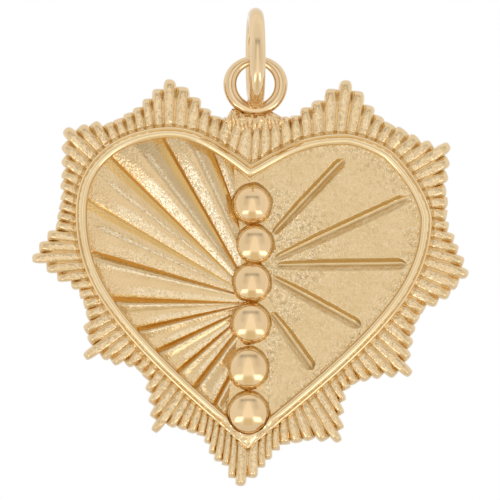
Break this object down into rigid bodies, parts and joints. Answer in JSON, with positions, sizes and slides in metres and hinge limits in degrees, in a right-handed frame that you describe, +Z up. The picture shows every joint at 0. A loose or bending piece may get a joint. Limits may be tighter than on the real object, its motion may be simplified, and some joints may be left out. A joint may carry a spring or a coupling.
{
  "type": "heart pendant",
  "caption": "Cast gold-coloured heart pendant with a fluted ray border, one pleated and one grooved half, a column of beads and a swinging bail ring.",
  "frame": {"origin": "on the inside of the bail ring at its top, where a chain bears", "axes": "+Z up along the hanging pendant, +X to the right as seen from the front, +Y from the face to the flat back"},
  "size_m": [0.0321, 0.0074, 0.0349],
  "materials": {
    "polished_gold": "polished pale yellow gold colour, mirror bright on the beads, rings and rim",
    "cast_gold": "satin as cast, lightly pebbled, with darker recesses",
    "frosted_gold": "satin facets with a bright frosted grain towards the rim"
  },
  "bodies": {
    "pendant": {"ray_plate": "cast_gold", "pleated_panel": "frosted_gold", "grooved_panel": "cast_gold", "rim_wire": "polished_gold", "ball_1": "polished_gold", "ball_seat_1": "cast_gold", "ball_2": "polished_gold", "ball_seat_2": "cast_gold", "ball_3": "polished_gold", "ball_seat_3": "cast_gold", "ball_4": "polished_gold", "ball_seat_4": "cast_gold", "ball_5": "polished_gold", "ball_seat_5": "cast_gold", "ball_6": "polished_gold", "ball_seat_6": "cast_gold", "ring_saddle": "cast_gold", "hanging_ring": "polished_gold"},
    "bail": {"bail_ring": "polished_gold"}
  },
  "joints": [
    {"name": "bail_swing", "type": "hinge", "parent": "pendant", "child": "bail", "pos_m": [0.00012, 0.00192, -0.00266], "axis": [-1, 0, 0], "range_deg": [0, 172]}
  ]
}
